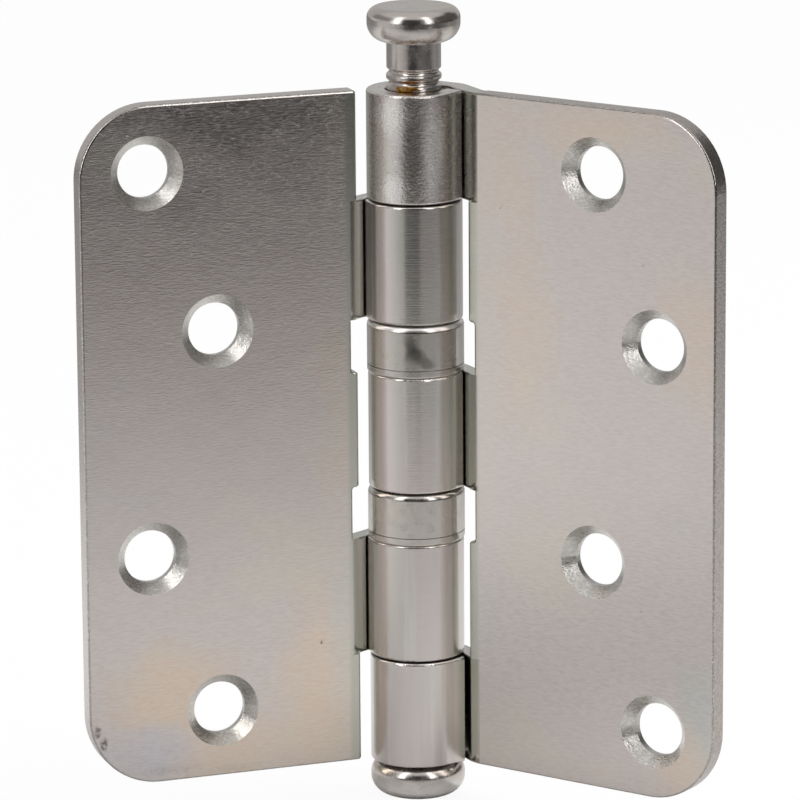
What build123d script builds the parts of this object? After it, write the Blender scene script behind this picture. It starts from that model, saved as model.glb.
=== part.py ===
"""Ball bearing butt hinge with a loose pin: two rolled leaves, two caged ball bearings, a pin and a plug.

Millimetres. +Z runs up the pin. The origin is on the back of the frame leaf, in the middle of its screw
holes. The frame leaf lies along +X with its back towards +Y, and the door leaf stands open on the -Y side.
"""

import os
from math import cos, isclose, radians, sin, tan

from build123d import *

# Leaves
LEAF_HEIGHT = 89.0
LEAF_REACH = 44.5  # from the pin's axis to a leaf's outer edge
SHEET = 2.45
CLOSED_GAP = 1.8  # between the inner faces when the hinge is shut
OPENING = 126  # angle between the inner faces as the hinge stands
CORNER_RADIUS = 9.5
EDGE_ROUND = 0.3  # on the inner face's rim
KNUCKLE_MARGIN = 1.4  # from the barrel to the leaf's edge beside the other leaf's knuckles
BEARING_MARGIN = 2.15  # from a bearing to the leaf's edge beside it
NOTCH_ROUND = 0.4

# Screw holes, countersunk from the inner face and staggered in two columns
HOLE_RADIUS = 3.45
COUNTERSINK_RADIUS = 4.8
COUNTERSINK_ANGLE = 82
EDGE_COLUMN = 8.95  # from a leaf's outer edge to the far column
COLUMN_STEP = 9.05  # between the columns
OUTER_ROW = 35.75  # above and below the middle
INNER_ROW = 14.6

# Rolled knuckles
MIDDLE_KNUCKLE = 15.35
DOOR_KNUCKLE = 15.6
KNUCKLE_GAP = 0.15  # running gap between knuckles that meet without a bearing
KNUCKLE_ROUND = 0.35  # on the knuckles' outer rims
MOUTH_ROUND = 0.3  # on the rims of their bores
JOGGLE_MARGIN = 2.95  # from the barrel to the bend that sets the strip back
JOGGLE_ANGLE = 30
BEND_RADIUS = 1.75
SQUARE_ROLL = 270  # turn after which the roll's straight end stands square to the leaf
ROLL_ANGLE = 270
SEAM_GAP = 0.25  # between the roll's free end and its own strip
LOOSE_ROLL_ANGLE = 252  # the bottom knuckle is rolled less tightly
LOOSE_SEAM_GAP = 0.6
STRIP_LAP = 3.0  # how far a strip's flat runs into the leaf

# Pin
PIN_RADIUS = 3.55
PIN_CLEARANCE = 0.15
PIN_LIFT = 6.1  # how far the pin stands above its seat
PIN_POINT = 1.2  # chamfer at the lower end
HEAD_RADIUS = 6.0
HEAD_HEIGHT = 4.5
HEAD_TOP_ROUND = 1.5
HEAD_BAND = 0.6  # straight part between the head's two rounds
NECK_RELIEF = 0.05  # how much the neck is turned down
NECK_LENGTH = 3.8
GROOVE_RADIUS = 0.35
GROOVE_ROUND = 0.25  # on the grooves' mouths
GROOVE_PITCH = 1.4
GROOVE_COUNT = 3

# Plug in the bottom knuckle
PLUG_DEPTH = 6.0
PLUG_FIT = 0.02
PLUG_POINT = 0.8
PLUG_PIN_GAP = 0.5  # between the plug and the seated pin's end
CAP_RADIUS = 6.15
CAP_HEIGHT = 4.75
CAP_TOP_ROUND = 1.95
CAP_BAND = 0.45

# Bearings
BEARING_HEIGHT = 6.85
SHELL_PROUD = 0.13  # how far the shell stands out from the barrel
SHELL_WALL = 0.4
SHELL_ROUND = 0.9
RACE_FIT = 0.05  # between a race and the shell
RACE_GAP = 0.8  # between the races' faces
FLANGE_HEIGHT = 0.95  # of the lower race's rim, below the shell
FLANGE_ROUND = 0.25  # on that rim's lower edge
SHELL_GAP = 0.1  # between the shell's skirt and that rim
BALL_COUNT = 12
BALL_PLAY = 0.05
CAGE_HEIGHT = 0.5
CAGE_WALL = 0.2  # beside a ball's pocket
CAGE_PLAY = 0.1  # between the cage and the walls beside it

# What follows from those sizes
bore_radius = PIN_RADIUS + PIN_CLEARANCE
barrel_radius = bore_radius + SHEET
inner_face = CLOSED_GAP / 2
back_face = inner_face + SHEET
far_column = LEAF_REACH - EDGE_COLUMN
near_column = far_column - COLUMN_STEP
screw_middle = (near_column + far_column) / 2
half_height = LEAF_HEIGHT / 2
knuckle_edge = barrel_radius + KNUCKLE_MARGIN
joggle_start = barrel_radius + JOGGLE_MARGIN
shell_radius = barrel_radius + SHELL_PROUD
bearing_edge = shell_radius + BEARING_MARGIN

middle_top = MIDDLE_KNUCKLE / 2
bearing_top = middle_top + BEARING_HEIGHT
door_top = bearing_top + DOOR_KNUCKLE
end_bottom = door_top + KNUCKLE_GAP
tight_roll = (ROLL_ANGLE, SEAM_GAP)
loose_roll = (LOOSE_ROLL_ANGLE, LOOSE_SEAM_GAP)
frame_knuckles = (
    (-half_height, -end_bottom, loose_roll),
    (-middle_top, middle_top, tight_roll),
    (end_bottom, half_height, tight_roll),
)
door_knuckles = ((-door_top, -bearing_top, tight_roll), (bearing_top, door_top, tight_roll))
bearing_spans = ((-bearing_top, -middle_top), (middle_top, bearing_top))

pin_axis = Axis((-screw_middle, -back_face, 0), (0, 0, 1))
frame_plane = Plane(pin_axis.position, x_dir=(1, 0, 0), z_dir=(0, 0, 1))
door_heading = (cos(radians(OPENING)), -sin(radians(OPENING)), 0)
door_plane = Plane(pin_axis.position, x_dir=door_heading, z_dir=(0, 0, -1))
radial_plane = Plane(pin_axis.position, x_dir=(1, 0, 0), z_dir=(0, -1, 0))

# The strip drops from the inner face to the bore's back through two bends and a ramp
joggle_turn = radians(JOGGLE_ANGLE)
outer_bend = BEND_RADIUS + SHEET
bend_drop = (outer_bend + BEND_RADIUS) * (1 - cos(joggle_turn))
ramp_length = (bore_radius - inner_face - bend_drop) / sin(joggle_turn)
ramp_start = joggle_start - outer_bend * sin(joggle_turn)
ramp_face = inner_face + outer_bend * (1 - cos(joggle_turn))

race_inner = bore_radius
race_outer = shell_radius - SHELL_WALL - RACE_FIT
ball_circle = (race_inner + race_outer) / 2
race_height = (BEARING_HEIGHT - SHELL_WALL - RACE_GAP) / 2
pocket_radius = (race_outer - race_inner) / 2 - CAGE_PLAY - CAGE_WALL
ball_radius = pocket_radius - BALL_PLAY

os.makedirs("parts", exist_ok=True)


def save(piece, name):
    """Label a finished piece and write it to its own file."""
    piece.part.label = name
    export_step(piece.part, f"parts/{name}.step")


def tip_length(roll_angle, seam_gap):
    """Length of the straight end that leaves a gap between a roll and the ramp of its own strip."""
    lean = radians(SQUARE_ROLL - roll_angle)
    to_ramp = ramp_start - barrel_radius * cos(lean)
    rise = ramp_face + barrel_radius * sin(lean) + to_ramp * tan(joggle_turn)
    return rise / (cos(lean) + sin(lean) * tan(joggle_turn)) - seam_gap


def strip_side(depth, roll_angle, seam_gap):
    """One side of the rolled sheet, at a depth below the inner face; gives back its two ends."""
    flat = Line((joggle_start + STRIP_LAP, inner_face + depth), (joggle_start, inner_face + depth))
    first_bend = JernArc(flat @ 1, flat % 1, outer_bend - depth, -JOGGLE_ANGLE)
    ramp = PolarLine(first_bend @ 1, ramp_length, direction=first_bend % 1)
    second_bend = JernArc(ramp @ 1, ramp % 1, BEND_RADIUS + depth, JOGGLE_ANGLE)
    back = Line(second_bend @ 1, (0, bore_radius + depth))
    roll = JernArc(back @ 1, back % 1, bore_radius + depth, roll_angle)
    tip = PolarLine(roll @ 1, tip_length(roll_angle, seam_gap), direction=roll % 1)
    return flat @ 0, tip @ 1


def strip_section(roll_angle, seam_gap):
    """The rolled sheet seen along the pin."""
    with BuildSketch() as section:
        with BuildLine():
            near_ends = strip_side(0, roll_angle, seam_gap)
            far_ends = strip_side(SHEET, roll_angle, seam_gap)
            for near, far in zip(near_ends, far_ends):
                Line(near, far)
        make_face()
    return section.sketch


def hinge_leaf(plane, knuckles):
    """A leaf on a plane whose origin is on the pin, with x along the leaf and y towards its back."""
    face_plane = Plane(plane.from_local_coords((0, inner_face, 0)), x_dir=plane.x_dir, z_dir=-plane.y_dir)
    own_ends = [end for low, high, roll in knuckles for end in (low, high) if abs(end) < half_height]

    def beside_strip(point):
        return isclose(point.X, joggle_start) or any(isclose(point.Y, end) for end in own_ends)

    with BuildPart(face_plane) as leaf:
        with BuildSketch(face_plane) as outline:
            with Locations((knuckle_edge, 0)):
                Rectangle(LEAF_REACH - knuckle_edge, LEAF_HEIGHT, align=(Align.MIN, Align.CENTER))
            fillet(outline.vertices().group_by(Axis.X)[-1], CORNER_RADIUS)
            for low, high in bearing_spans:
                with Locations((knuckle_edge, (low + high) / 2)):
                    Rectangle(
                        bearing_edge - knuckle_edge,
                        high - low,
                        align=(Align.MIN, Align.CENTER),
                        mode=Mode.SUBTRACT,
                    )
            for low, high, roll in knuckles:
                with Locations((knuckle_edge, (low + high) / 2)):
                    Rectangle(
                        joggle_start - knuckle_edge,
                        high - low,
                        align=(Align.MIN, Align.CENTER),
                        mode=Mode.SUBTRACT,
                    )
            notch_ends = outline.vertices().filter_by(lambda corner: corner.X < joggle_start)
            fillet(notch_ends.filter_by(beside_strip, reverse=True), NOTCH_ROUND)
        extrude(amount=-SHEET)
        front = leaf.faces().sort_by(Axis(face_plane.origin, face_plane.z_dir))[-1]
        front_rim = front.edges().filter_by(
            lambda edge: beside_strip(face_plane.to_local_coords(edge.center())), reverse=True
        )
        fillet(front_rim, EDGE_ROUND)
        with Locations(
            (near_column, OUTER_ROW),
            (far_column, INNER_ROW),
            (near_column, -INNER_ROW),
            (far_column, -OUTER_ROW),
        ):
            CounterSinkHole(HOLE_RADIUS, COUNTERSINK_RADIUS, SHEET, COUNTERSINK_ANGLE)
        for low, high, roll in knuckles:
            with BuildPart() as strip:
                with BuildSketch(plane.offset(low)):
                    add(strip_section(*roll))
                extrude(amount=high - low)
                for radius, rounding in ((barrel_radius, KNUCKLE_ROUND), (bore_radius, MOUTH_ROUND)):
                    rims = strip.edges().filter_by(GeomType.CIRCLE)
                    fillet(rims.filter_by(lambda rim: isclose(rim.radius, radius)), rounding)
            # Beside the leaf the strip's edges stay square, so that the two run together without a groove
            root_low = max(low, KNUCKLE_ROUND - half_height)
            root_high = min(high, half_height - KNUCKLE_ROUND)
            with BuildSketch(plane.offset(root_low)):
                add(strip_section(*roll))
                with Locations((knuckle_edge, inner_face)):
                    Rectangle(LEAF_REACH, LEAF_REACH, align=Align.MIN, mode=Mode.INTERSECT)
            extrude(amount=root_high - root_low)
    return leaf


frame_leaf = hinge_leaf(frame_plane, frame_knuckles)
save(frame_leaf, "frame_leaf")

door_leaf = hinge_leaf(door_plane, door_knuckles)
save(door_leaf, "door_leaf")

# Pin, drawn out of its seat, with a button head and ring grooves below its neck
head_seat = half_height + PIN_LIFT
head_lower_round = HEAD_HEIGHT - HEAD_TOP_ROUND - HEAD_BAND
pin_length = LEAF_HEIGHT - PLUG_DEPTH - PLUG_PIN_GAP
groove_heights = [head_seat - NECK_LENGTH - count * GROOVE_PITCH for count in range(GROOVE_COUNT)]
with BuildPart() as hinge_pin:
    with BuildSketch(radial_plane) as head:
        with Locations((0, head_seat)):
            Rectangle(HEAD_RADIUS, HEAD_HEIGHT, align=Align.MIN)
        fillet(head.vertices().group_by(Axis.Y)[0].sort_by(Axis.X)[-1], head_lower_round)
        fillet(head.vertices().group_by(Axis.Y)[-1].sort_by(Axis.X)[-1], HEAD_TOP_ROUND)
    revolve(axis=pin_axis)
    with BuildSketch(radial_plane) as shank:
        with Locations((0, head_seat)):
            Rectangle(PIN_RADIUS, pin_length, align=(Align.MIN, Align.MAX))
        chamfer(shank.vertices().group_by(Axis.Y)[0].sort_by(Axis.X)[-1], PIN_POINT)
        with Locations((PIN_RADIUS - NECK_RELIEF, head_seat)):
            Rectangle(NECK_RELIEF, NECK_LENGTH, align=(Align.MIN, Align.MAX), mode=Mode.SUBTRACT)
        with Locations(*[(PIN_RADIUS, height) for height in groove_heights]):
            Circle(GROOVE_RADIUS, mode=Mode.SUBTRACT)
        grooved = (groove_heights[-1] - GROOVE_PITCH, groove_heights[0] + GROOVE_PITCH)
        fillet(shank.vertices().filter_by_position(Axis.Y, *grooved), GROOVE_ROUND)
    revolve(axis=pin_axis)
save(hinge_pin, "hinge_pin")

# Plug pressed into the bottom knuckle, with a rounded cap that matches the pin's head
cap_lower_round = CAP_HEIGHT - CAP_TOP_ROUND - CAP_BAND
with BuildPart() as bottom_plug:
    with BuildSketch(radial_plane) as cap:
        with Locations((0, -half_height)):
            Rectangle(CAP_RADIUS, CAP_HEIGHT, align=(Align.MIN, Align.MAX))
        fillet(cap.vertices().group_by(Axis.Y)[0].sort_by(Axis.X)[-1], cap_lower_round)
        fillet(cap.vertices().group_by(Axis.Y)[-1].sort_by(Axis.X)[-1], CAP_TOP_ROUND)
    revolve(axis=pin_axis)
    with BuildSketch(radial_plane) as stem:
        with Locations((0, -half_height)):
            Rectangle(bore_radius - PLUG_FIT, PLUG_DEPTH, align=Align.MIN)
        chamfer(stem.vertices().group_by(Axis.Y)[-1].sort_by(Axis.X)[-1], PLUG_POINT)
    revolve(axis=pin_axis)
save(bottom_plug, "bottom_plug")

# Bearings: two grooved races in a drawn shell, with caged balls between them
ball_places = PolarLocations(ball_circle, BALL_COUNT).local_locations
inside_round = SHELL_ROUND - SHELL_WALL
for bearing, (bottom, top) in zip(("lower_bearing", "upper_bearing"), bearing_spans):
    ball_height = bottom + race_height + RACE_GAP / 2
    skirt = bottom + FLANGE_HEIGHT + SHELL_GAP
    ball_plane = frame_plane.offset(ball_height)

    with BuildPart() as shell:
        with BuildSketch(radial_plane) as wall:
            with Locations((race_inner, top)):
                Rectangle(shell_radius - race_inner, top - skirt, align=(Align.MIN, Align.MAX))
            fillet(wall.vertices().group_by(Axis.Y)[-1].sort_by(Axis.X)[-1], SHELL_ROUND)
        revolve(axis=pin_axis)
        with BuildSketch(radial_plane) as hollow:
            with Locations((0, top - SHELL_WALL)):
                Rectangle(shell_radius - SHELL_WALL, BEARING_HEIGHT, align=(Align.MIN, Align.MAX))
            fillet(hollow.vertices().group_by(Axis.Y)[-1].sort_by(Axis.X)[-1], inside_round)
        revolve(axis=pin_axis, mode=Mode.SUBTRACT)
    save(shell, f"{bearing}_shell")

    with BuildPart() as upper_race:
        with BuildSketch(radial_plane) as section:
            with Locations((race_inner, top - SHELL_WALL)):
                Rectangle(race_outer - race_inner, race_height, align=(Align.MIN, Align.MAX))
            fillet(section.vertices().group_by(Axis.Y)[-1].sort_by(Axis.X)[-1], inside_round)
            with Locations((ball_circle, ball_height)):
                Circle(pocket_radius, mode=Mode.SUBTRACT)
        revolve(axis=pin_axis)
    save(upper_race, f"{bearing}_upper_race")

    with BuildPart() as lower_race:
        with BuildSketch(radial_plane) as section:
            with Locations((race_inner, bottom)):
                Rectangle(race_outer - race_inner, race_height, align=Align.MIN)
                Rectangle(shell_radius - race_inner, FLANGE_HEIGHT, align=Align.MIN)
            fillet(section.vertices().group_by(Axis.Y)[0].sort_by(Axis.X)[-1], FLANGE_ROUND)
            with Locations((ball_circle, ball_height)):
                Circle(pocket_radius, mode=Mode.SUBTRACT)
        revolve(axis=pin_axis)
    save(lower_race, f"{bearing}_lower_race")

    with BuildPart() as cage:
        with BuildSketch(ball_plane):
            Circle(race_outer - CAGE_PLAY)
            Circle(race_inner + CAGE_PLAY, mode=Mode.SUBTRACT)
            with Locations(*ball_places):
                Circle(pocket_radius, mode=Mode.SUBTRACT)
        extrude(amount=CAGE_HEIGHT / 2, both=True)
    save(cage, f"{bearing}_cage")

    for number, place in enumerate(ball_places, start=1):
        with BuildPart(ball_plane) as ball:
            with Locations(place):
                Sphere(ball_radius)
        save(ball, f"{bearing}_ball_{number:02d}")
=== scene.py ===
"""Looks for the ball bearing hinge: plated metal, a bead of grease, a pale studio and the photograph's view."""

from math import cos, pi, radians, sin

import bmesh
import bpy
from mathutils import Matrix, Vector, noise


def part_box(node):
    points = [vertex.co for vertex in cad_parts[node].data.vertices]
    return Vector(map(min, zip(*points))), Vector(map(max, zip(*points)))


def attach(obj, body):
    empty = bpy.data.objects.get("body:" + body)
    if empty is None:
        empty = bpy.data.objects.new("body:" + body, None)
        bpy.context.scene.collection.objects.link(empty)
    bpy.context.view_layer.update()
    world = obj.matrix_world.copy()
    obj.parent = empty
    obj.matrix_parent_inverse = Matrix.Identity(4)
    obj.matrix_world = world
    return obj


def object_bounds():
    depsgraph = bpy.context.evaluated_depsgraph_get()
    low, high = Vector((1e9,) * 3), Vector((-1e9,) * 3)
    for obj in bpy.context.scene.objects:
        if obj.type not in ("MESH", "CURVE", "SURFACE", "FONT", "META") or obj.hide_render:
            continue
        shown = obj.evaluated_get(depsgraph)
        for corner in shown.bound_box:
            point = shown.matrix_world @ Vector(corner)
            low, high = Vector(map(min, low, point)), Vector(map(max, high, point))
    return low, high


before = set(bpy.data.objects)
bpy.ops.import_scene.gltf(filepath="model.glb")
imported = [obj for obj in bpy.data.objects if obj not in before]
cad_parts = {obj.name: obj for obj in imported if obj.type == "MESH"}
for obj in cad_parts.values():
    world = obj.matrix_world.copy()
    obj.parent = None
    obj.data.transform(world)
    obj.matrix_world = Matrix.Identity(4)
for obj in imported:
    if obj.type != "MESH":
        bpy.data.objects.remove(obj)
cad_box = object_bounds()
scene = bpy.context.scene

MM = 1e-3
MICRON = 1e-6

# Where the pin stands, and which way the leaves run from it
pin_low, pin_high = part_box("hinge_pin")
PIN_AXIS = Vector(((pin_low.x + pin_high.x) / 2, (pin_low.y + pin_high.y) / 2, 0))
FRAME_HEADING = 0
DOOR_HEADING = -126

# Screw holes along and up a leaf, in millimetres; the door leaf's are turned over
HOLES = ((26.5, 35.75), (35.55, 14.6), (26.5, -14.6), (35.55, -35.75))

# The photograph's view
CAMERA_OFFSET = Vector((393.0, -581.5, 171.6)) * MM
CAMERA_HEADING = 34.22
CAMERA_PITCH = 13.47
CAMERA_ROLL = -0.40
CAMERA_LENS = 251.0
CAMERA_SENSOR = 36
CAMERA_NEAR = 0.01
CAMERA_FAR = 20


def around(azimuth, distance, height):
    """A point round the pin: azimuth in degrees to the right of the camera's heading, seen from the front."""
    angle = radians(CAMERA_HEADING + azimuth)
    return PIN_AXIS + Vector((sin(angle) * distance, -cos(angle) * distance, height))


def direction(azimuth):
    """The level direction from the pin to an azimuth."""
    return around(azimuth, 1.0, 0.0) - PIN_AXIS


def on_barrel(azimuth, radius, height):
    """A point round the pin, in millimetres from its axis and the middle of the hinge."""
    return around(azimuth, radius * MM, height * MM) - PIN_AXIS


def link(obj):
    scene.collection.objects.link(obj)
    return obj


def mesh_object(name, bm, material):
    mesh = bpy.data.meshes.new(name)
    bm.to_mesh(mesh)
    bm.free()
    mesh.materials.append(material)
    return link(bpy.data.objects.new(name, mesh))


def colour(red, green, blue):
    return (red, green, blue, 1.0)


def grey(tone):
    return colour(tone, tone, tone)


WHITE = grey(1.0)


class Graph:
    """A material's or world's node tree, with short ways to add a node and join it to others."""

    def __init__(self, owner):
        owner.use_nodes = True
        self.tree = owner.node_tree
        self.tree.nodes.clear()

    def add(self, kind, inputs=None, **settings):
        made = self.tree.nodes.new(kind)
        for key, value in settings.items():
            setattr(made, key, value)
        for key, value in (inputs or {}).items():
            if isinstance(value, bpy.types.NodeSocket):
                self.tree.links.new(value, made.inputs[key])
            else:
                made.inputs[key].default_value = value
        return made

    def math(self, operation, first, second=0.0, clamp=False):
        made = self.add("ShaderNodeMath", {0: first, 1: second}, operation=operation, use_clamp=clamp)
        return made.outputs[0]

    def times(self, *values):
        result = values[0]
        for value in values[1:]:
            result = self.math("MULTIPLY", result, value)
        return result

    def total(self, *values):
        result = values[0]
        for value in values[1:]:
            result = self.math("ADD", result, value)
        return result

    def rest(self, whole, *taken):
        """What is left of a mask when others are taken from it."""
        for mask in taken:
            whole = self.math("SUBTRACT", whole, mask, clamp=True)
        return whole

    def vector(self, operation, first, second=(0, 0, 0)):
        return self.add("ShaderNodeVectorMath", {0: first, 1: second}, operation=operation).outputs[0]

    def dot(self, first, second):
        made = self.add("ShaderNodeVectorMath", {0: first, 1: second}, operation="DOT_PRODUCT")
        return made.outputs["Value"]

    def length(self, vector, counted=None):
        """A vector's length, or its length along the axes that are counted."""
        if counted:
            vector = self.vector("MULTIPLY", vector, counted)
        return self.add("ShaderNodeVectorMath", {0: vector}, operation="LENGTH").outputs["Value"]

    def split(self, vector):
        return self.add("ShaderNodeSeparateXYZ", {0: vector}).outputs

    def spread(self, value, low, high, new_low=0.0, new_high=1.0, smooth=True):
        """A value's range from low to high, spread over a new range."""
        made = self.add(
            "ShaderNodeMapRange",
            {"Value": value, "From Min": low, "From Max": high, "To Min": new_low, "To Max": new_high},
            interpolation_type="SMOOTHSTEP" if smooth else "LINEAR",
        )
        return made.outputs["Result"]

    def fade(self, value, low, high):
        """1 up to low, falling to 0 at high."""
        return self.spread(value, low, high, 1.0, 0.0)

    def between(self, value, low, high, soft):
        """1 from low to high, with soft ends."""
        return self.times(
            self.spread(value, low - soft, low + soft), self.fade(value, high - soft, high + soft)
        )

    def noise(self, place, scale, detail=2.0, rough=0.5):
        stretched = self.vector("MULTIPLY", place, scale)
        made = self.add(
            "ShaderNodeTexNoise", {"Vector": stretched, "Scale": 1.0, "Detail": detail, "Roughness": rough}
        )
        return made.outputs["Fac"]

    def specks(self, place, fineness, rare, size):
        """Small dots at scattered points, of which only a few have one."""
        stretched = self.vector("MULTIPLY", place, (fineness, fineness, fineness))
        cells = self.add("ShaderNodeTexVoronoi", {"Vector": stretched, "Scale": 1.0}).outputs
        chosen = self.spread(self.split(cells["Color"])[0], *rare)
        return self.times(chosen, self.fade(cells["Distance"], *size))

    def mix(self, share, first, second):
        made = self.add("ShaderNodeMix", {0: share, 6: first, 7: second}, data_type="RGBA")
        return made.outputs[2]

    def coats(self, base, *layers):
        """A colour with other colours laid over it in turn, each by its share."""
        for share, tone in layers:
            base = self.mix(share, base, tone)
        return base

    def ramp(self, value, stops):
        made = self.add("ShaderNodeValToRGB", {"Fac": value})
        made.color_ramp.interpolation = "EASE"
        elements = made.color_ramp.elements
        while len(elements) < len(stops):
            elements.new(0.5)
        for element, (position, tone) in zip(elements, stops):
            element.position = position
            element.color = tone
        return made.outputs["Color"]

    def spot(self, x, z, middle, size, soft):
        """1 inside an ellipse on a leaf's face, falling to 0 outside it; sizes in millimetres."""
        across = self.math("DIVIDE", self.math("SUBTRACT", x, middle[0] * MM), size[0] * MM)
        up = self.math("DIVIDE", self.math("SUBTRACT", z, middle[1] * MM), size[1] * MM)
        away = self.math("SQRT", self.total(self.times(across, across), self.times(up, up)))
        return self.fade(away, 1 - soft, 1 + soft)

    def strayed(self, place, fineness, far):
        """The place shifted by noise, so that a patch painted by it has a wandering edge."""
        stretched = self.vector("MULTIPLY", place, (fineness, fineness, fineness))
        made = self.add("ShaderNodeTexNoise", {"Vector": stretched, "Scale": 1.0, "Detail": 3.0})
        shift = self.vector("SUBTRACT", made.outputs["Color"], (0.5, 0.5, 0.5))
        return self.vector("ADD", place, self.vector("MULTIPLY", shift, (far, far, far)))

    def metal(self, base, roughness, height):
        """Bare metal with its bumps given as a height in metres."""
        bump = self.add("ShaderNodeBump", {"Height": height, "Strength": 1.0, "Distance": 1.0})
        shader = self.add(
            "ShaderNodeBsdfPrincipled",
            {"Base Color": base, "Metallic": 1.0, "Roughness": roughness, "Normal": bump.outputs["Normal"]},
        )
        self.add("ShaderNodeOutputMaterial", {"Surface": shader.outputs[0]})


# Tints of the metal and what lies on it, and colours for painted shade, painted highlights and painted glints
PLAIN = colour(0.655, 0.583, 0.553)
SHADE = colour(0.63, 0.578, 0.565)
PEACH = colour(0.755, 0.595, 0.46)
STRAW = colour(0.675, 0.612, 0.54)
LAVENDER = colour(0.595, 0.565, 0.60)
TEAL = colour(0.54, 0.585, 0.56)
OLIVE = colour(0.56, 0.56, 0.50)
GRAIN_AND_GLINT = colour(0.80, 0.78, 0.75)
POLISH_AND_HIGHLIGHT = colour(0.95, 0.92, 0.89)
SATIN = colour(0.57, 0.56, 0.525)
DARK_REFLECTION = colour(0.29, 0.265, 0.25)
RIM_SHADE = colour(0.32, 0.30, 0.28)
DIRT_AND_SHADE = colour(0.10, 0.085, 0.075)
DARK_PATCH = colour(0.10, 0.095, 0.085)
AMBER = colour(0.50, 0.24, 0.03)
FILM_TINTS = ((0.30, SHADE), (0.43, PLAIN), (0.57, PLAIN), (0.68, STRAW), (0.80, PEACH))
ROLL_TINTS = (
    (0.38, colour(0.685, 0.625, 0.605)),
    (0.56, colour(0.67, 0.625, 0.585)),
    (0.72, colour(0.625, 0.615, 0.555)),
)
GREASE_TINTS = (
    (0.35, colour(0.20, 0.075, 0.006)),
    (0.50, colour(0.50, 0.23, 0.02)),
    (0.65, colour(0.78, 0.47, 0.08)),
)

# How a patch's or stain's edge wanders: waves per metre and distance, and where a patch's soft edge lies
PATCH_STRAY_FINENESS = 420
PATCH_STRAY = 2.2 * MM
PATCH_EDGE = (0.35, 1.25)
STAIN_STRAY_FINENESS = 130
STAIN_STRAY = 9 * MM
STAIN_SOFTNESS = 0.75
PIT_SOFTNESS = 0.6

# Distances from the pin's axis at which a roll ends, the flat leaf begins and the bend's tint fades out
ROLL_ENDS = (6.3 * MM, 6.9 * MM)
LEAF_BEGINS = (8.6 * MM, 9.4 * MM)
BEND_FADES = (9.5 * MM, 14.0 * MM)

# Distance from a hole's axis at which its countersink ends
COUNTERSINK_ENDS = (4.9 * MM, 5.05 * MM)

# Heights at which the top knuckle and the one below it begin, and over which the brushing grows stronger
TOP_KNUCKLE = (30.2 * MM, 30.3 * MM)
SECOND_KNUCKLE = (14.0 * MM, 15.0 * MM)
BRUSHING_GROWS = (-30 * MM, 42 * MM)
BRUSHING = (0.35, 1.0)

# How far a surface looks out of the leaf's face, or up: 1 is squarely so, and below 0 is down
FACE = (0.9, 0.995)
SHEARED_EDGE = (0.1, 0.25)
INNER_SIDE = (0.0, 0.1)
ROLL_END_FACE = (0.2, 0.5)
UNDERSIDE = (-0.7, -0.25)
TOP_RIM = (0.12, 0.3)

# Patterns on the leaves: waves per metre along, through and up the leaf, detail and roughness
GRAIN = ((900, 900, 4600), 3.0, 0.6)
FLECKS = ((1500, 1500, 6500), 2.0, 0.6)
CLOUD = ((60, 60, 60), 3.0, 0.55)
FILM = ((48, 48, 60), 3.0, 0.55)
FILM_SHIFT = (0.3, 0.1, 0.7)
PEBBLE = ((2600, 2600, 2600), 2.0, 0.6)
SPARKLE = ((5200, 5200, 5200), 1.0)
LINES = ((160, 160, 8000), 2.0, 0.6)
ROLL_MOTTLE = ((220, 220, 60), 2.0)
ROLL_BANDS = ((480, 480, 22), 3.0, 0.6)
SPECKS = (130, (0.80, 0.82), (0.012, 0.02))

# Which range of a pattern shows as a mark, and how strongly it tints
GRAIN_MARK = (0.34, 0.66)
GRAIN_TINT = 0.36
FLECK_MARK = (0.52, 0.72)
FLECK_TINT = 0.16
LIGHT_BAND = (0.5, 0.7)
LIGHT_BAND_TINT = 0.5
DARK_BAND = (0.32, 0.48)
DARK_BAND_TINT = 0.4
BEND_TINT = 0.5
EDGE_MARK = (0.3, 0.7)
EDGE_TINT = (0.5, 1.0)
CONE_TINT = 0.7
GLINT_MARK = (0.5, 0.62)
GLINT_TINT = 0.6
RIM_SHADE_TINT = 0.75
BURR_GLINT_MARK = (0.52, 0.66)
BURR_GLINT_TINT = 0.9
UNDERSIDE_SHADE_TINT = 0.85
SPECK_TINT = 0.3
PIT_MARK = (0.35, 0.6)

# Roughness of a leaf, what each region adds to it and how much it varies
LEAF_ROUGHNESS = 0.18
ROUGHER = {"roll": 0.05, "worn": 0.03, "cut": 0.10, "cone": 0.10}
GRAIN_ROUGHNESS = 0.10
CLOUD_ROUGHNESS = 0.08
MARK_ROUGHNESS = 0.3

# Relief of a leaf
GRAIN_RELIEF = 12 * MICRON
FLECK_RELIEF = 3 * MICRON
CLOUD_RELIEF = 50 * MICRON
LINE_RELIEF = (4.5 * MICRON, 8 * MICRON)
PEBBLE_RELIEF = {"worn": 34 * MICRON, "roll": 5 * MICRON, "cut": 20 * MICRON, "cone": 26 * MICRON}
SPARKLE_RELIEF = {"rim": 8 * MICRON, "roll_rim": 16 * MICRON, "cone": 10 * MICRON}
MARK_DEPTH = 40 * MICRON


def patched(graph, base, place, patches):
    """A colour with soft patches laid on it round points of the part; sizes in millimetres."""
    stray = graph.strayed(place, PATCH_STRAY_FINENESS, PATCH_STRAY)
    for middle, size, tone, strength in patches:
        offset = graph.vector("SUBTRACT", stray, middle)
        inside = graph.vector("DIVIDE", offset, [side * MM for side in size])
        share = graph.times(graph.fade(graph.length(inside), *PATCH_EDGE), strength)
        base = graph.mix(share, base, tone)
    return base


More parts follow.
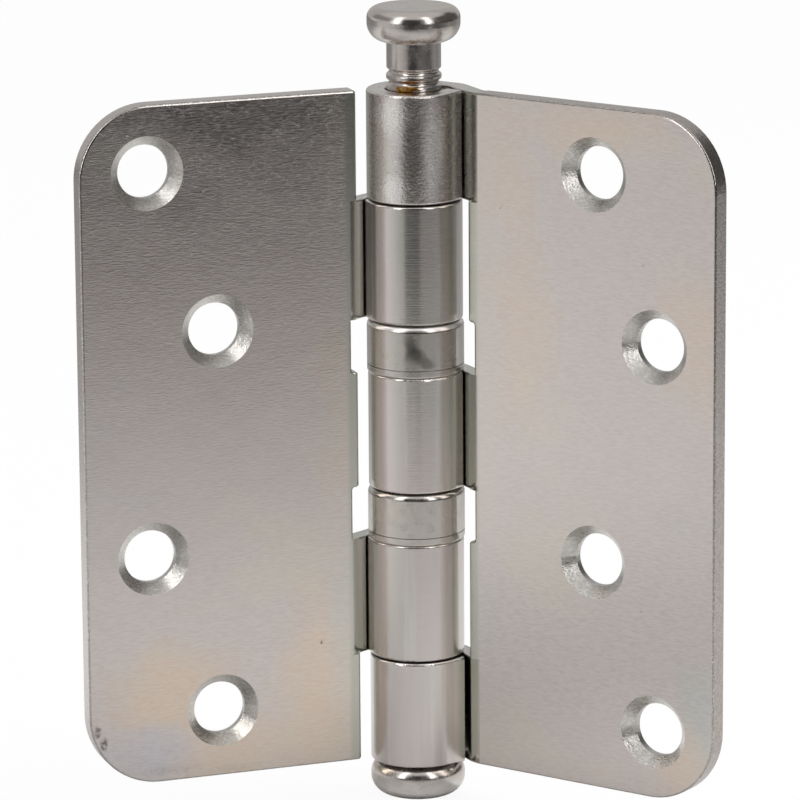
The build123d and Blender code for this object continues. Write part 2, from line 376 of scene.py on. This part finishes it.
def leaf_regions(graph, local, facing, turned_over):
    """Masks for the parts of a leaf, told apart by their place and by the way the surface looks."""
    _, across, upwards = graph.split(facing)
    reach = graph.length(local, (1, 1, 0))
    squareness = graph.math("ABSOLUTE", across)
    leaf = graph.spread(reach, *LEAF_BEGINS)
    roll = graph.fade(reach, *ROLL_ENDS)
    flat = graph.times(leaf, graph.spread(squareness, *FACE))
    cut = graph.times(leaf, graph.fade(squareness, *SHEARED_EDGE))
    hole = None
    for along, up in HOLES:
        centre = (along * MM, 0, (-up if turned_over else up) * MM)
        away = graph.length(graph.vector("SUBTRACT", local, centre), (1, 0, 1))
        hole = away if hole is None else graph.math("MINIMUM", hole, away)
    cone = graph.times(graph.rest(leaf, flat), graph.fade(hole, *COUNTERSINK_ENDS))
    return {
        "leaf": leaf,
        "roll": roll,
        "strip": graph.rest(1.0, leaf, roll),
        "bend": graph.fade(reach, *BEND_FADES),
        "inner_face": graph.spread(graph.times(across, 1.0 if turned_over else -1.0), *INNER_SIDE),
        "flat": flat,
        "cut": cut,
        "cone": cone,
        "rim": graph.rest(leaf, flat, cut, cone),
        "roll_rim": graph.times(roll, graph.spread(graph.math("ABSOLUTE", upwards), *ROLL_END_FACE)),
        "roll_foot": graph.times(roll, graph.fade(upwards, *UNDERSIDE)),
        "worn": graph.times(roll, graph.spread(graph.split(local)[2], *TOP_KNUCKLE)),
    }


def by_region(graph, regions, weights):
    """A sum of masks, each with its own weight."""
    return graph.total(*(graph.times(regions[name], weight) for name, weight in weights.items()))


def leaf_tint(graph, local, regions, stains_and_shade):
    """Faint colours of the flats, with stained patches that the photograph shows and a painted dark reflection
    on the door leaf's top.
    """
    tint = graph.ramp(graph.noise(graph.vector("ADD", local, FILM_SHIFT), *FILM), FILM_TINTS)
    stray_x, _, stray_z = graph.split(graph.strayed(local, STAIN_STRAY_FINENESS, STAIN_STRAY))
    for middle, size, tone, strength in stains_and_shade:
        spot = graph.spot(stray_x, stray_z, middle, size, STAIN_SOFTNESS)
        tint = graph.mix(graph.times(spot, regions["inner_face"], strength), tint, tone)
    return graph.mix(graph.times(regions["bend"], BEND_TINT), tint, STRAW)


def roll_tint(graph, local, centred, patches):
    """Upright bands of the knuckles, with the patches that the photograph shows."""
    bands = graph.noise(local, *ROLL_BANDS)
    tint = graph.coats(
        graph.ramp(graph.noise(local, *ROLL_MOTTLE), ROLL_TINTS),
        (graph.times(graph.spread(bands, *LIGHT_BAND), LIGHT_BAND_TINT), GRAIN_AND_GLINT),
        (graph.times(graph.fade(bands, *DARK_BAND), DARK_BAND_TINT), OLIVE),
    )
    # The patches lay painted highlights and a painted dark reflection on the top knuckle, besides grease
    return patched(graph, tint, centred, patches) if patches else tint


def leaf_marks(graph, local, regions, pebble, pits):
    """Specks and pits on the flats."""
    x, _, z = graph.split(local)
    marks = graph.times(graph.specks(local, *SPECKS), regions["flat"], SPECK_TINT)
    for middle, size, strength in pits:
        pit = graph.times(graph.spot(x, z, middle, size, PIT_SOFTNESS), regions["inner_face"], strength)
        marks = graph.math("MAXIMUM", marks, pit)
    return graph.times(marks, graph.spread(pebble, *PIT_MARK))


def leaf_material(name, heading, turned_over, edge_tone, stains_and_shade, pits, patches=()):
    """Bright plated sheet: brushed and tinted flats, glossier rolls, sheared edges and turned countersinks."""
    material = bpy.data.materials.new(name)
    graph = Graph(material)
    coordinates = graph.add("ShaderNodeTexCoord").outputs
    centred = graph.vector("SUBTRACT", coordinates["Object"], PIN_AXIS)
    local, facing = (
        graph.add(
            "ShaderNodeVectorRotate", {"Vector": vector, "Angle": radians(-heading)}, rotation_type="Z_AXIS"
        ).outputs[0]
        for vector in (centred, coordinates["Normal"])
    )
    height = graph.split(local)[2]
    on = leaf_regions(graph, local, facing, turned_over)

    grain = graph.noise(local, *GRAIN)
    flecks = graph.spread(graph.noise(local, *FLECKS), *FLECK_MARK)
    cloud = graph.noise(local, *CLOUD)
    pebble = graph.noise(local, *PEBBLE)
    sparkle = graph.noise(local, *SPARKLE)
    lines = graph.noise(local, *LINES)
    marks = leaf_marks(graph, local, on, pebble, pits)
    # Where painted glints of burrs go: along the edge rims and the knuckles' ends
    burr_glints = graph.math("MAXIMUM", graph.times(on["rim"], BURR_GLINT_TINT), on["roll_rim"])

    shaded = graph.coats(
        leaf_tint(graph, local, on, stains_and_shade),
        (on["roll"], roll_tint(graph, local, centred, patches)),
        (on["strip"], OLIVE),
        (graph.times(graph.spread(grain, *GRAIN_MARK), on["leaf"], GRAIN_TINT), GRAIN_AND_GLINT),
        (graph.times(flecks, on["leaf"], FLECK_TINT), GRAIN_AND_GLINT),
        (graph.times(on["cut"], graph.spread(pebble, *EDGE_MARK, *EDGE_TINT)), edge_tone),
        (graph.times(on["cone"], CONE_TINT), SATIN),
        # Painted glints in the countersinks
        (graph.times(on["cone"], graph.spread(pebble, *GLINT_MARK), GLINT_TINT), GRAIN_AND_GLINT),
        # Painted shade along the edge rims, dimming their bright reflection
        (graph.times(on["rim"], RIM_SHADE_TINT), RIM_SHADE),
        # Painted glints of burrs along the edge rims and the knuckles' ends
        (graph.times(graph.spread(sparkle, *BURR_GLINT_MARK), burr_glints), GRAIN_AND_GLINT),
        # Painted shade on the knuckles' downward faces
        (graph.times(on["roll_foot"], UNDERSIDE_SHADE_TINT), DIRT_AND_SHADE),
        (marks, DIRT_AND_SHADE),
    )
    rough = graph.total(
        LEAF_ROUGHNESS,
        by_region(graph, on, ROUGHER),
        graph.times(graph.math("SUBTRACT", grain, 0.5), GRAIN_ROUGHNESS),
        graph.times(graph.math("SUBTRACT", cloud, 0.5), CLOUD_ROUGHNESS),
        graph.times(marks, MARK_ROUGHNESS),
    )
    brushed = graph.times(on["leaf"], graph.spread(height, *BRUSHING_GROWS, *BRUSHING))
    relief = graph.total(
        graph.times(grain, brushed, GRAIN_RELIEF),
        graph.times(flecks, brushed, FLECK_RELIEF),
        graph.times(cloud, CLOUD_RELIEF),
        graph.times(lines, on["roll"], graph.spread(height, *SECOND_KNUCKLE, *LINE_RELIEF)),
        graph.times(pebble, by_region(graph, on, PEBBLE_RELIEF)),
        graph.times(sparkle, by_region(graph, on, SPARKLE_RELIEF)),
        graph.times(marks, -MARK_DEPTH),
    )
    graph.metal(shaded, rough, relief)
    return material


# Patterns on turned pieces: waves per metre, detail and roughness
RINGS = ((200, 200, 7000), 2.0)
DENTS = ((900, 900, 900), 3.0, 0.6)
GLITTER = ((4200, 4200, 4200), 1.0)
MOTTLE = ((160, 160, 160), 2.0)

# Which range of them shows, how strongly it tints, and by how much the tint differs from the metal's own
MOTTLE_MARK = (0.45, 0.7)
MOTTLE_TINT = 0.6
WARMER = (1.04, 1.0, 0.93)
DENT_MARK = (0.52, 0.75)
DENT_TINT = 0.5
DULLER = (0.88, 0.92, 0.90)

# Their roughness and relief; only the upper bearing's rim gets a painted highlight, so it begins at the middle
RING_ROUGHNESS = 0.05
DENT_SPAN = (0.4, 0.7)
DENT_ROUGHNESS = 0.08
HIGHLIGHT_BEGINS = (0.0, 1 * MM)
HIGHLIGHT_ROUGHNESS = 0.12
RING_RELIEF = 1.2 * MICRON
GLITTER_SHARE = 0.25


def turned_material(name, base, roughness, dent_depth, patches=(), rim_highlight=0.0, underside_shade=0.0):
    """Turned and plated steel with fine rings round the pin, small dents and a few dull patches; where asked, a
    painted highlight on the upper rim and painted shade on the downward faces.
    """
    material = bpy.data.materials.new(name)
    graph = Graph(material)
    coordinates = graph.add("ShaderNodeTexCoord").outputs
    place = graph.vector("SUBTRACT", coordinates["Object"], PIN_AXIS)
    upwards = graph.split(coordinates["Normal"])[2]
    rings = graph.noise(place, *RINGS)
    dents = graph.noise(place, *DENTS)
    glitter = graph.noise(place, *GLITTER)
    mottle = graph.noise(place, *MOTTLE)
    warmer, duller = (
        colour(*(part * factor for part, factor in zip(base, factors))) for factors in (WARMER, DULLER)
    )
    shaded = graph.coats(
        base,
        (graph.times(graph.spread(mottle, *MOTTLE_MARK), MOTTLE_TINT), warmer),
        (graph.times(graph.spread(dents, *DENT_MARK), DENT_TINT), duller),
    )
    rough = graph.total(
        roughness,
        graph.times(rings, RING_ROUGHNESS),
        graph.times(graph.spread(dents, *DENT_SPAN), DENT_ROUGHNESS),
    )
    if patches:
        shaded = patched(graph, shaded, place, patches)
    # A painted highlight on the upward-facing rim, above the middle
    if rim_highlight:
        above = graph.spread(graph.split(place)[2], *HIGHLIGHT_BEGINS)
        painted_highlight = graph.times(graph.spread(upwards, *TOP_RIM), above, rim_highlight)
        shaded = graph.mix(painted_highlight, shaded, POLISH_AND_HIGHLIGHT)
        rough = graph.total(rough, graph.times(painted_highlight, HIGHLIGHT_ROUGHNESS))
    # Painted shade on the downward faces
    if underside_shade:
        shaded = graph.mix(graph.times(graph.fade(upwards, *UNDERSIDE), underside_shade), shaded, DIRT_AND_SHADE)
    relief = graph.total(
        graph.times(rings, RING_RELIEF),
        graph.times(dents, dent_depth),
        graph.times(glitter, dent_depth * GLITTER_SHARE),
    )
    graph.metal(shaded, rough, relief)
    return material


# Stains on the leaves, and a painted dark reflection on the door leaf's top: place along and up the leaf, half
# sizes in millimetres, tint and strength
door_stains_and_shade = (
    # Painted dark reflection over the door leaf's top
    ((23.0, 43.0), (22.0, 4.0), DARK_REFLECTION, 0.75),
    ((31.0, 31.5), (5.0, 3.0), DARK_REFLECTION, 0.3),
    ((16.0, 36.0), (5.0, 4.0), DARK_REFLECTION, 0.3),
    ((39.0, 39.0), (4.5, 3.5), POLISH_AND_HIGHLIGHT, 0.3),
    ((11.0, -34.0), (6.0, 13.0), PEACH, 0.85),
    ((26.0, -41.0), (9.0, 4.5), PEACH, 0.75),
    ((33.0, -33.5), (7.0, 6.0), PEACH, 0.85),
    ((10.0, 2.0), (3.5, 11.0), PEACH, 0.5),
    ((36.0, -40.5), (6.0, 3.2), LAVENDER, 0.9),
    ((9.4, -24.0), (2.0, 8.0), TEAL, 0.6),
)
frame_stains = (
    ((27.5, 41.5), (9.0, 3.5), PEACH, 0.6),
    ((13.0, 36.0), (4.0, 7.0), PEACH, 0.4),
    ((41.0, 17.0), (4.0, 8.0), PEACH, 0.5),
    ((16.0, 16.0), (4.0, 12.0), PEACH, 0.45),
    ((9.8, -24.0), (2.2, 10.0), LAVENDER, 0.85),
    ((42.6, -34.0), (2.5, 7.0), TEAL, 0.6),
    ((40.0, -39.0), (3.0, 4.0), PEACH, 0.6),
)

# Pits and scuffs on the leaves: place, half sizes and strength
door_pits = (
    ((43.5, -36.9), (0.4, 0.7), 0.8),
    ((42.7, -38.6), (0.45, 0.8), 0.8),
    ((12.9, -28.0), (0.2, 0.2), 0.5),
    ((34.0, -43.0), (4.0, 0.6), 0.12),
    ((25.0, -43.6), (3.0, 0.5), 0.10),
)
frame_pits = (
    ((33.9, 25.0), (0.16, 0.16), 0.35),
    ((33.8, -20.1), (0.16, 0.16), 0.35),
    ((12.6, 30.0), (0.14, 0.14), 0.3),
)

# Patches round the pin, among them painted highlights and a painted dark reflection: middle, half sizes in
# millimetres, tint and strength
SHELL_RADIUS = 6.28
ROLL_RADIUS = 6.15
BORE_RADIUS = 3.7
shell_patches = (
    (on_barrel(-8, SHELL_RADIUS, 12.0), (1.1, 1.1, 1.5), DARK_PATCH, 0.55),
    (on_barrel(-2, SHELL_RADIUS, 10.8), (1.5, 1.5, 1.3), DARK_PATCH, 0.7),
    (on_barrel(11, SHELL_RADIUS, 9.9), (1.2, 1.2, 0.8), DARK_PATCH, 0.55),
)
pin_patches = (
    # A painted highlight low on the cap, then grease on the pin
    (on_barrel(0, 4.0, -48.6), (11.0, 11.0, 2.2), POLISH_AND_HIGHLIGHT, 0.9),
    (on_barrel(-18, BORE_RADIUS, 44.7), (1.6, 1.6, 0.4), AMBER, 0.8),
    (on_barrel(-5, BORE_RADIUS, 45.8), (1.1, 1.1, 0.35), AMBER, 0.6),
)
frame_patches = (
    # Painted highlights on the top knuckle's left
    (on_barrel(-28, ROLL_RADIUS, 42.0), (3.0, 3.0, 2.6), POLISH_AND_HIGHLIGHT, 0.7),
    (on_barrel(-28, ROLL_RADIUS, 32.0), (2.2, 2.2, 2.2), POLISH_AND_HIGHLIGHT, 0.8),
    # A painted dark reflection down the top knuckle's front
    (on_barrel(-4, ROLL_RADIUS, 37.0), (1.6, 1.6, 4.5), DARK_PATCH, 0.3),
    # A painted highlight on the top knuckle's right, then grease at its top
    (on_barrel(24, ROLL_RADIUS, 37.0), (1.7, 1.7, 7.5), POLISH_AND_HIGHLIGHT, 0.7),
    (on_barrel(-15, 4.2, 44.5), (1.9, 1.2, 0.6), AMBER, 0.95),
)

# Metals by material slot, and one for each leaf
finishes = {
    "pin": turned_material(
        "pin_metal", colour(0.60, 0.555, 0.525), roughness=0.18, dent_depth=9 * MICRON, patches=pin_patches
    ),
    # The upper shell's rim has a painted highlight
    "bearing_shell": turned_material(
        "shell_metal",
        colour(0.60, 0.565, 0.525),
        roughness=0.17,
        dent_depth=5 * MICRON,
        patches=shell_patches,
        rim_highlight=0.9,
    ),
    # The race has painted shade on its downward faces
    "race": turned_material(
        "race_metal", colour(0.58, 0.55, 0.515), roughness=0.18, dent_depth=4 * MICRON, underside_shade=0.85
    ),
    "cage": turned_material("cage_metal", colour(0.55, 0.52, 0.48), roughness=0.28, dent_depth=5 * MICRON),
    "ball": turned_material("ball_metal", colour(0.66, 0.64, 0.62), roughness=0.06, dent_depth=1 * MICRON),
}
leaf_finishes = {
    "frame_leaf": leaf_material(
        "frame_leaf_metal",
        FRAME_HEADING,
        turned_over=False,
        edge_tone=colour(0.44, 0.40, 0.37),
        stains_and_shade=frame_stains,
        pits=frame_pits,
        patches=frame_patches,
    ),
    "door_leaf": leaf_material(
        "door_leaf_metal",
        DOOR_HEADING,
        turned_over=True,
        edge_tone=colour(0.60, 0.55, 0.52),
        stains_and_shade=door_stains_and_shade,
        pits=door_pits,
    ),
}
for name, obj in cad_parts.items():
    slot_name = obj.material_slots[0].material.name.split(".")[0]
    obj.material_slots[0].material = leaf_finishes.get(name) or finishes[slot_name]

# Grease at the top knuckle: a lumpy film on the pin, thinner than the bore's clearance; millimetres and degrees
GREASE_RADIUS = 3.5
GREASE_OUT = 0.17
GREASE_IN = 0.5
GREASE_HEIGHT = 44.88
GREASE_HALF = 0.46
GREASE_SAG = 0.12
GREASE_FIRST = -42
GREASE_LAST = 12
GREASE_STEPS = 48
GREASE_SIDES = 16
GREASE_THINNEST = 0.04
GREASE_LUMPS = ((1500, 1500, 1500), 2.0)
GREASE_LUMP_RELIEF = 100 * MICRON
GREASE_ROUGHNESS = 0.2


def grease_material():
    material = bpy.data.materials.new("grease")
    graph = Graph(material)
    thick = graph.noise(graph.add("ShaderNodeTexCoord").outputs["Object"], *GREASE_LUMPS)
    lumps = graph.add("ShaderNodeBump", {"Height": thick, "Strength": 1.0, "Distance": GREASE_LUMP_RELIEF})
    shader = graph.add(
        "ShaderNodeBsdfPrincipled",
        {
            "Base Color": graph.ramp(thick, GREASE_TINTS),
            "Roughness": GREASE_ROUGHNESS,
            "Normal": lumps.outputs["Normal"],
        },
    )
    graph.add("ShaderNodeOutputMaterial", {"Surface": shader.outputs[0]})
    return material


def grease_loop(bm, share):
    """One cross-section of the film, at a share of its way round the pin."""
    azimuth = GREASE_FIRST + (GREASE_LAST - GREASE_FIRST) * share
    lump = 0.8 + 0.5 * noise.noise((share * 7, 2.7, 0.4))
    swell = max(GREASE_THINNEST, sin(pi * share) ** 0.6 * lump)
    middle = GREASE_HEIGHT + GREASE_SAG * noise.noise((share * 4, 0.2, 5.1))
    loop = []
    for side in range(GREASE_SIDES):
        angle = 2 * pi * side / GREASE_SIDES
        depth = GREASE_OUT * min(1, swell) if cos(angle) > 0 else GREASE_IN
        radius = GREASE_RADIUS + depth * cos(angle)
        height = middle + GREASE_HALF * swell * sin(angle)
        loop.append(bm.verts.new(around(azimuth, radius * MM, height * MM)))
    return loop


bm = bmesh.new()
loops = [grease_loop(bm, step / GREASE_STEPS) for step in range(GREASE_STEPS + 1)]
for first, second in zip(loops, loops[1:]):
    for side in range(GREASE_SIDES):
        other = (side + 1) % GREASE_SIDES
        bm.faces.new((first[side], first[other], second[other], second[side]))
for loop in (loops[0], loops[-1]):
    bm.faces.new(loop)
bmesh.ops.recalc_face_normals(bm, faces=bm.faces)
for face in bm.faces:
    face.smooth = True
grease = mesh_object("grease", bm, grease_material())
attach(grease, "pin")

# Camera
camera_data = bpy.data.cameras.new("camera")
camera_data.lens = CAMERA_LENS
camera_data.sensor_width = CAMERA_SENSOR
camera_data.clip_start = CAMERA_NEAR
camera_data.clip_end = CAMERA_FAR
camera = link(bpy.data.objects.new("camera", camera_data))
camera.matrix_world = (
    Matrix.Translation(PIN_AXIS + CAMERA_OFFSET)
    @ Matrix.Rotation(radians(CAMERA_HEADING), 4, "Z")
    @ Matrix.Rotation(radians(90 - CAMERA_PITCH), 4, "X")
    @ Matrix.Rotation(radians(CAMERA_ROLL), 4, "Z")
)
scene.camera = camera

# Floor: white to the eye, and in the metal a pale table with painted shade that grows darker towards the front
# right and behind
FLOOR = cad_box[0].z - 0.2 * MM
FLOOR_HALF = 3.0
FLOOR_PALE = grey(0.82)
FLOOR_WHITE_SHARE = 0.94

# How that painted shade grows: ranges in metres, and the tones at their ends
DIM_AZIMUTH = 35
DIM_RANGE = (-0.15, 0.52)
DIM_TONES = (0.95, 0.02)
BEHIND_RANGE = (-0.2, -0.04)
BEHIND_TONES = (0.42, 1.0)

# Soft patches in that table, a painted shadow and a painted pool of light: azimuth, distance, radius and the
# factor in the middle
FLOOR_PATCHES = ((-50, 0.075, 0.09, 0.74), (0, 0.02, 0.042, 1.22))


def floor_tone(graph):
    ground = graph.vector("SUBTRACT", graph.add("ShaderNodeTexCoord").outputs["Object"], PIN_AXIS)
    tone = graph.times(
        graph.spread(graph.dot(ground, direction(DIM_AZIMUTH)), *DIM_RANGE, *DIM_TONES, smooth=False),
        graph.spread(graph.dot(ground, direction(0)), *BEHIND_RANGE, *BEHIND_TONES),
    )
    for azimuth, distance, radius, factor in FLOOR_PATCHES:
        offset = graph.vector("SUBTRACT", ground, around(azimuth, distance, FLOOR) - PIN_AXIS)
        tone = graph.times(tone, graph.spread(graph.length(offset, (1, 1, 0)), 0.0, radius, factor, 1.0))
    return tone


def floor_material():
    material = bpy.data.materials.new("floor")
    graph = Graph(material)
    paths = graph.add("ShaderNodeLightPath").outputs
    tone = floor_tone(graph)
    dimmed = graph.add("ShaderNodeCombineColor", {0: tone, 1: tone, 2: tone}).outputs[0]
    pale = graph.add("ShaderNodeBsdfDiffuse", {"Color": FLOOR_PALE}).outputs[0]
    mirrored = graph.add("ShaderNodeBsdfDiffuse", {"Color": dimmed}).outputs[0]
    white = graph.add("ShaderNodeEmission", {"Color": WHITE, "Strength": 1.0}).outputs[0]
    table = graph.add("ShaderNodeMixShader", {0: paths["Is Glossy Ray"], 1: pale, 2: mirrored}).outputs[0]
    share = graph.times(paths["Is Camera Ray"], FLOOR_WHITE_SHARE)
    seen = graph.add("ShaderNodeMixShader", {0: share, 1: table, 2: white}).outputs[0]
    graph.add("ShaderNodeOutputMaterial", {"Surface": seen})
    return material


bm = bmesh.new()
bmesh.ops.create_grid(bm, x_segments=1, y_segments=1, size=FLOOR_HALF)
bmesh.ops.translate(bm, verts=bm.verts, vec=(PIN_AXIS.x, PIN_AXIS.y, FLOOR))
floor = mesh_object("floor", bm, floor_material())

# World: white to the eye, and in the metal a light ceiling, grey back, dark front and right and pale low left
ROOM_TONE = 0.68

# Sectors of that room: first and last azimuth, lowest and highest elevation in degrees, and tone
ROOM_SECTORS = (
    (-58, 62, -30, 40, 0.03),
    (62, 140, -30, 45, 0.09),
    (-125, -58, -30, 9, 0.75),
    (-125, -58, 9, 40, 0.28),
    (140, 190, -30, 50, 0.53),
    (-190, -125, -30, 50, 0.53),
)
SECTOR_SOFTNESS = 5.0

world = bpy.data.worlds.new("studio")
scene.world = world
graph = Graph(world)
paths = graph.add("ShaderNodeLightPath").outputs
ray = graph.add("ShaderNodeTexCoord").outputs["Generated"]
turned = graph.math("ARCTAN2", graph.dot(ray, direction(90)), graph.dot(ray, direction(0)))
turned = graph.math("DEGREES", turned)
raised = graph.math("DEGREES", graph.math("ARCSINE", graph.split(ray)[2]))
room = grey(ROOM_TONE)
for first, last, low, high, tone in ROOM_SECTORS:
    inside = graph.times(
        graph.between(turned, first, last, SECTOR_SOFTNESS), graph.between(raised, low, high, SECTOR_SOFTNESS)
    )
    room = graph.mix(inside, room, grey(tone))
lit = graph.add("ShaderNodeBackground", {"Color": room, "Strength": 1.0}).outputs[0]
backdrop = graph.add("ShaderNodeBackground", {"Color": WHITE, "Strength": 1.0}).outputs[0]
seen = graph.add("ShaderNodeMixShader", {0: paths["Is Camera Ray"], 1: lit, 2: backdrop}).outputs[0]
graph.add("ShaderNodeOutputWorld", {"Surface": seen})

# Panels of the studio: first and last azimuth, distance, lowest and highest point in metres, and tone
STAND_TOP = -0.028
PANELS = {
    "dark_camera": (-24, 12, 0.24, STAND_TOP, 0.12, 0.03),
    "dark_stand": (-24, 12, 0.24, FLOOR, STAND_TOP, 0.17),
    "softbox_left": (-51, -34, 0.40, 0.05, 0.75, 3.4),
    "softbox_right": (30, 46, 0.40, 0.05, 0.75, 3.0),
}
PANEL_STEPS = 24


def glow_material(name, tone):
    material = bpy.data.materials.new(name)
    graph = Graph(material)
    glow = graph.add("ShaderNodeEmission", {"Color": grey(tone), "Strength": 1.0})
    graph.add("ShaderNodeOutputMaterial", {"Surface": glow.outputs[0]})
    return material


def panel(name, first, last, distance, low, high, tone):
    """A curved panel of the studio, seen only by reflections; azimuths in degrees right of the camera."""
    bm = bmesh.new()
    columns = []
    for step in range(PANEL_STEPS + 1):
        azimuth = first + (last - first) * step / PANEL_STEPS
        columns.append([bm.verts.new(around(azimuth, distance, height)) for height in (low, high)])
    for left, right in zip(columns, columns[1:]):
        bm.faces.new((left[0], right[0], right[1], left[1]))
    obj = mesh_object(name, bm, glow_material(name, tone))
    obj.visible_camera = False
    obj.visible_diffuse = False
    obj.visible_shadow = False


for name, values in PANELS.items():
    panel(name, *values)

# A soft lamp above and to the right, which the metal doesn't mirror
LAMP_SIZE = 0.5
LAMP_POWER = 5.8
LAMP_PLACE = around(95, 0.28, 0.75)

lamp_data = bpy.data.lights.new("window", "AREA")
lamp_data.shape = "RECTANGLE"
lamp_data.size = LAMP_SIZE
lamp_data.size_y = LAMP_SIZE
lamp_data.energy = LAMP_POWER
lamp = link(bpy.data.objects.new("window", lamp_data))
lamp.location = LAMP_PLACE
lamp.rotation_euler = (PIN_AXIS - LAMP_PLACE).to_track_quat("-Z", "Y").to_euler()
lamp.visible_glossy = False

scene.view_settings.view_transform = "Standard"
